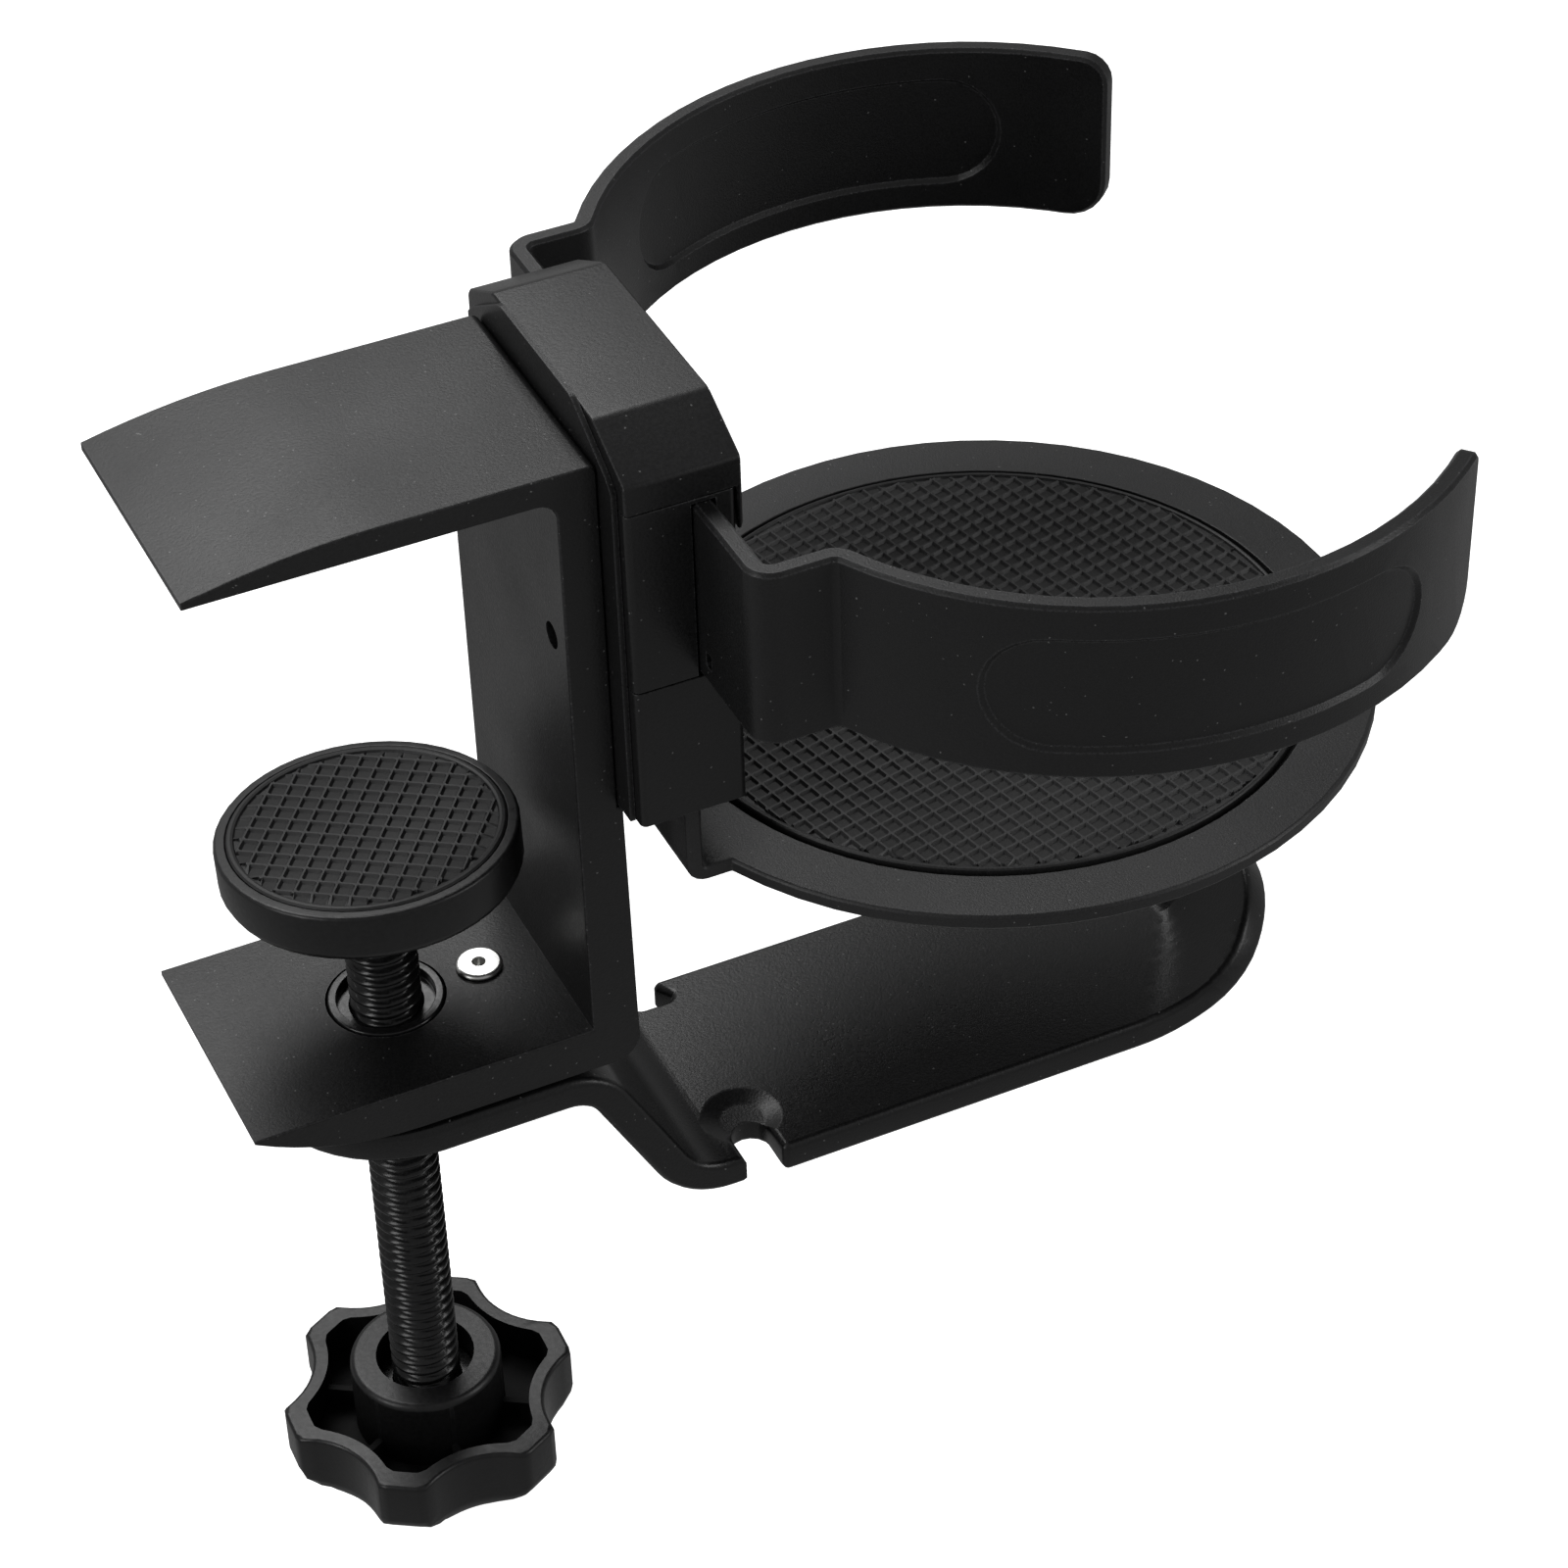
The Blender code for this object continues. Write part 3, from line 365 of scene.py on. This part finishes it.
def thread_radius(turn, z):
    """Radius in mm of the rolled thread at a share of a turn and a height."""
    phase = (z / THREAD_PITCH - turn) % 1.0
    ridge = min(1.0, max(0.0, 1.55 - abs(phase - 0.5) * 4.6))
    ridge = ridge * ridge * (3 - 2 * ridge)
    to_end = max(0.0, min(THREAD_TOP_Z - z, z - THREAD_FOOT_Z))
    run_out = min(1.0, to_end / THREAD_RUN_OUT)
    return THREAD_ROOT_R + (THREAD_CREST_R - THREAD_ROOT_R) * ridge * run_out


def threaded_screw(look, slot):
    """The clamp screw with its helical thread, the neck and the ball under the pad."""
    bm = bmesh.new()
    count = round((THREAD_TOP_Z - THREAD_FOOT_Z) / THREAD_PITCH * THREAD_RINGS_PER_TURN)
    rings = []
    for k in range(count + 1):
        z = THREAD_FOOT_Z + (THREAD_TOP_Z - THREAD_FOOT_Z) * k / count
        ring = []
        for i in range(THREAD_STEPS):
            share = i / THREAD_STEPS
            radius = thread_radius(share, z)
            angle = 2 * math.pi * share
            point = Vector((radius * math.cos(angle), radius * math.sin(angle), z)) * MM
            ring.append(bm.verts.new(point))
        rings.append(ring)
    ball = [(3.4, -53.2), (3.0, -52.75), (2.5, -52.75), (2.5, -52.4)]
    rise = (-0.45, -0.2, 0.1, 0.4, 0.7, 1.0, 1.3)
    ball += [(BALL_R * math.cos(a), BALL_Z + BALL_R * math.sin(a)) for a in rise]
    for radius, z in ball:
        rings.append([bm.verts.new(point) for point in circle_points(radius, z, THREAD_STEPS)])
    foot = [bm.verts.new(point) for point in circle_points(SCREW_FOOT_R, SCREW_FOOT_Z, THREAD_STEPS)]
    rings.insert(0, foot)
    for low, high in zip(rings, rings[1:]):
        for i in range(THREAD_STEPS):
            j = (i + 1) % THREAD_STEPS
            bm.faces.new((low[i], low[j], high[j], high[i]))
    bm.faces.new(rings[-1])
    bm.faces.new(list(reversed(rings[0])))
    return finish_piece("threaded_clamp_screw", bm, look, slot, "screw", "clamp_screw")


def rib_lattice(bm, pitch, turn, reach, floor, low):
    """Crossing ribs on a flat floor out to a radius, as a closed sheet that goes down to a height."""
    count = math.ceil(reach / pitch)
    steps = (-RIB_FOOT, -RIB_CREST, RIB_CREST, RIB_FOOT)
    marks = sorted(k * pitch + step for k in range(-count, count + 1) for step in steps)
    crests = {k * pitch + step for k in range(-count, count + 1) for step in steps[1:3]}
    spin = Matrix.Rotation(math.radians(turn), 3, "Z")
    grid = {}
    for i, u in enumerate(marks):
        for j, v in enumerate(marks):
            if math.hypot(u, v) < reach + pitch:
                raised = u in crests or v in crests
                inside = math.hypot(u, v) < reach
                z = floor + (RIB_HEIGHT if raised and inside else 0.0)
                grid[i, j] = bm.verts.new(spin @ (Vector((u, v, z)) * MM))
    faces = []
    for i in range(len(marks) - 1):
        for j in range(len(marks) - 1):
            corners = [grid.get(at) for at in ((i, j), (i + 1, j), (i + 1, j + 1), (i, j + 1))]
            near = math.hypot((marks[i] + marks[i + 1]) / 2, (marks[j] + marks[j + 1]) / 2) < reach
            if None not in corners and near:
                face = bm.faces.new(corners)
                # Faces on the floor between the ribs take the painted shade
                face.material_index = 0 if any(vert.co.z > (floor + 0.1) * MM for vert in corners) else 1
                faces.append(face)
    for vert in [v for v in bm.verts if not v.link_faces]:
        bm.verts.remove(vert)
    raised = bmesh.ops.extrude_face_region(bm, geom=faces)
    for item in raised["geom"]:
        if isinstance(item, bmesh.types.BMVert):
            item.co.z = low * MM


def flat_shaded(obj, floor_shade):
    """Keeps the ribs crisp, and paints shade on the floors between them with a darker copy of the rubber.
    """
    obj.data.materials.append(floor_shade)
    obj.data.shade_flat()
    return obj


def ribbed_pad(look, floor_shade, slot):
    """The pad's rubber face: a smooth rim round a lattice of ribs, tilted with the pad."""
    bm = bmesh.new()
    rib_lattice(bm, PAD_PITCH, PAD_RIB_TURN, PAD_RIB_REACH, PAD_FLOOR_Z, PAD_FOOT_Z + 0.3)
    foot = [(0.0, PAD_FOOT_Z), (PAD_RIM[0][0], PAD_FOOT_Z)]
    face = [(PAD_RIB_REACH, PAD_FLOOR_Z), (0.0, PAD_FLOOR_Z - 0.01)]
    lathe(bm, foot + PAD_RIM + face, 96)
    tilt = Matrix.Translation((0, 0, BALL_Z * MM)) @ Matrix.Rotation(math.radians(PAD_TILT), 4, "X")
    bm.transform(tilt)
    return flat_shaded(finish_piece("ribbed_pad_rubber", bm, look, slot, "pad", "pad_rubber"), floor_shade)


def ribbed_mat(look, floor_shade, slot):
    """The cup mat: a raised smooth rim round a lattice of ribs."""
    low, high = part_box("cup_mat")
    base = low.z / MM
    top = high.z / MM
    radius = (high.x - low.x) / 2 / MM
    bm = bmesh.new()
    rib_lattice(bm, MAT_PITCH, MAT_RIB_TURN, MAT_RIB_REACH, top - MAT_FLOOR_DEPTH, base + 0.2)
    rim = [(radius - inset, top - depth) for inset, depth in MAT_RIM]
    lathe(bm, [(0.0, base), (radius, base)] + rim + [(0.0, top - 0.4)], 128)
    bm.transform(Matrix.Translation(((low.x + high.x) / 2, 0, 0)))
    return flat_shaded(finish_piece("ribbed_cup_mat", bm, look, slot, "frame", "cup_mat"), floor_shade)


def take_away(obj, cutter_bm):
    """Cuts a closed shape out of an object's mesh."""
    mesh = bpy.data.meshes.new("cutter")
    cutter_bm.to_mesh(mesh)
    cutter_bm.free()
    cutter = bpy.data.objects.new("cutter", mesh)
    bpy.context.scene.collection.objects.link(cutter)
    modifier = obj.modifiers.new("cut", "BOOLEAN")
    modifier.operation = "DIFFERENCE"
    modifier.solver = "EXACT"
    modifier.object = cutter
    bpy.context.view_layer.update()
    graph = bpy.context.evaluated_depsgraph_get()
    shaped = bpy.data.meshes.new_from_object(obj.evaluated_get(graph))
    obj.modifiers.clear()
    obj.data = shaped
    bpy.data.objects.remove(cutter)


def dish_at_notch(hook):
    """The shallow dish that is pressed into the tray round the near notch's closed end."""
    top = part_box("headset_hook")[0].z / MM + HOOK_T
    dish = bmesh.new()
    profile = [(radius, top + z) for radius, z in DISH_PROFILE]
    lathe(dish, [(0.0, profile[0][1])] + profile + [(0.0, profile[-1][1])], 48)
    dish.transform(Matrix.Translation((DISH_AT[0] * MM, DISH_AT[1] * MM, 0)))
    take_away(hook, dish)


def shade_knob_hollow(knob, look):
    """Paints shade into the star knob's hollow, between its wall and its hub, with a darker and less
    reflective copy of the black plastic.
    """
    knob.data.materials.append(look)
    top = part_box("star_knob")[1].z
    for face in knob.data.polygons:
        centre = face.center
        reach = math.hypot(centre.x, centre.y)
        inward = face.normal.x * centre.x + face.normal.y * centre.y < -1e-5 * reach
        low = centre.z < top - POCKET_DEPTH * MM
        floor = face.normal.z > 0.9 and low
        hub = low and reach < HUB_REACH * MM and abs(face.normal.z) < 0.5
        if floor or hub or (inward and reach > POCKET_REACH * MM):
            face.material_index = 1


# ---------------------------------------------------------------- stage

def soft_light(name, where, target, size, power):
    light = bpy.data.lights.new(name, "AREA")
    light.shape = "RECTANGLE"
    light.size, light.size_y = size
    light.energy = power
    obj = bpy.data.objects.new(name, light)
    bpy.context.scene.collection.objects.link(obj)
    obj.location = where
    obj.rotation_euler = (Vector(target) - Vector(where)).to_track_quat("-Z", "Y").to_euler()


def make_stage():
    mesh = bpy.data.meshes.new("floor")
    half = FLOOR_HALF
    corners = [(-half, -half, 0), (half, -half, 0), (half, half, 0), (-half, half, 0)]
    mesh.from_pydata(corners, [], [(0, 1, 2, 3)])
    floor = bpy.data.objects.new("floor", mesh)
    floor.location.z = cad_box[0][2] - FLOOR_DROP * MM
    bpy.context.scene.collection.objects.link(floor)
    made, _, shader = new_material("pale_floor")
    shader.inputs["Base Color"].default_value = (FLOOR_WHITE, FLOOR_WHITE, FLOOR_WHITE, 1.0)
    shader.inputs["Roughness"].default_value = 0.9
    shader.inputs["Emission Color"].default_value = (1.0, 1.0, 1.0, 1.0)
    shader.inputs["Emission Strength"].default_value = FLOOR_GLOW
    mesh.materials.append(made)
    floor.visible_glossy = False
    floor.visible_diffuse = False
    world = bpy.data.worlds.new("studio")
    world.use_nodes = True
    background = world.node_tree.nodes["Background"]
    background.inputs["Color"].default_value = (1.0, 1.0, 1.0, 1.0)
    background.inputs["Strength"].default_value = WORLD_STRENGTH
    bpy.context.scene.world = world
    for name, settings in LIGHTS.items():
        soft_light(name, *settings)


def make_camera():
    camera = bpy.data.cameras.new("camera")
    camera.lens = CAMERA_LENS
    camera.sensor_width = CAMERA_SENSOR
    camera.clip_start, camera.clip_end = CAMERA_CLIP
    obj = bpy.data.objects.new("camera", camera)
    right = Vector(CAMERA_RIGHT)
    up = Vector(CAMERA_UP)
    back = right.cross(up)
    turn = Matrix((right, up, back)).transposed().to_4x4()
    obj.matrix_world = Matrix.Translation(CAMERA_AT) @ turn
    bpy.context.scene.collection.objects.link(obj)
    bpy.context.scene.camera = obj


# ---------------------------------------------------------------- build

looks = make_looks()
refine("clamp_frame", looks["frame"], "sparkle_black_paint", "frame", 0.3)
refine("back_plate", looks["satin"], "satin_black_paint", "frame", 0.15)
refine("housing_body", looks["housing"], "housing_black", "frame", 0.15)
refine("housing_base", looks["housing"], "housing_black", "frame", 0.2)
refine("housing_cover", looks["housing"], "housing_black", "frame", 0.5)
refine("screw_bush", looks["screw"], "black_screw_steel", "frame", 0.1)
refine("stop_rivet", looks["zinc"], "zinc_steel", "frame", 0.12)
refine("hook_washer", looks["dark_nylon"], "nylon", "frame", 0.1)
refine("retaining_ring", looks["steel"], "plain_steel", "frame", 0.08)
refine("cup_base", looks["rest"], "satin_black_paint", "frame", 0.12, 40.0)
hook = finish_piece("headset_hook_finished", welded("headset_hook"), looks["hook"], "satin_black_paint",
                    "hook", "headset_hook")
dish_at_notch(hook)
soften(hook, 0.3)
refine("grip_arm_near", looks["satin"], "satin_black_paint", "arm_near", 0.1, 40.0)
refine("grip_arm_far", looks["satin"], "satin_black_paint", "arm_far", 0.1, 40.0)
refine("pad_cup", looks["plastic"], "black_plastic", "pad", 0.15)
refine("pad_seat", looks["dark_nylon"], "nylon", "pad_carrier", 0.05)
shade_knob_hollow(refine("star_knob", looks["plastic"], "black_plastic", "screw", 0.3), looks["hollow_shade"])
refine("knob_cap", looks["plastic"], "black_plastic", "screw", 0.1)
refine("knob_insert", looks["screw"], "black_screw_steel", "screw", 0.1)
refine("knob_screw", looks["steel"], "plain_steel", "screw", 0.1)
threaded_screw(looks["screw"], "black_screw_steel")
ribbed_pad(looks["rubber"], looks["floor_shade"], "black_rubber")
ribbed_mat(looks["rubber"], looks["floor_shade"], "black_rubber")
for end in ("near", "far"):
    refine("base_screw_" + end, looks["screw"], "black_screw_steel", "frame", 0.08)
    refine("stack_screw_" + end, looks["screw"], "black_screw_steel", "frame", 0.08)
    refine("arm_brake_" + end, looks["nylon"], "nylon", "frame", 0.1)
refine("brake_spring_far", looks["rubber"], "black_rubber", "frame", 0.1)
refine("grub_screw", looks["screw"], "black_screw_steel", "frame", 0.05)
make_stage()
make_camera()
bpy.context.scene.view_settings.view_transform = "Standard"
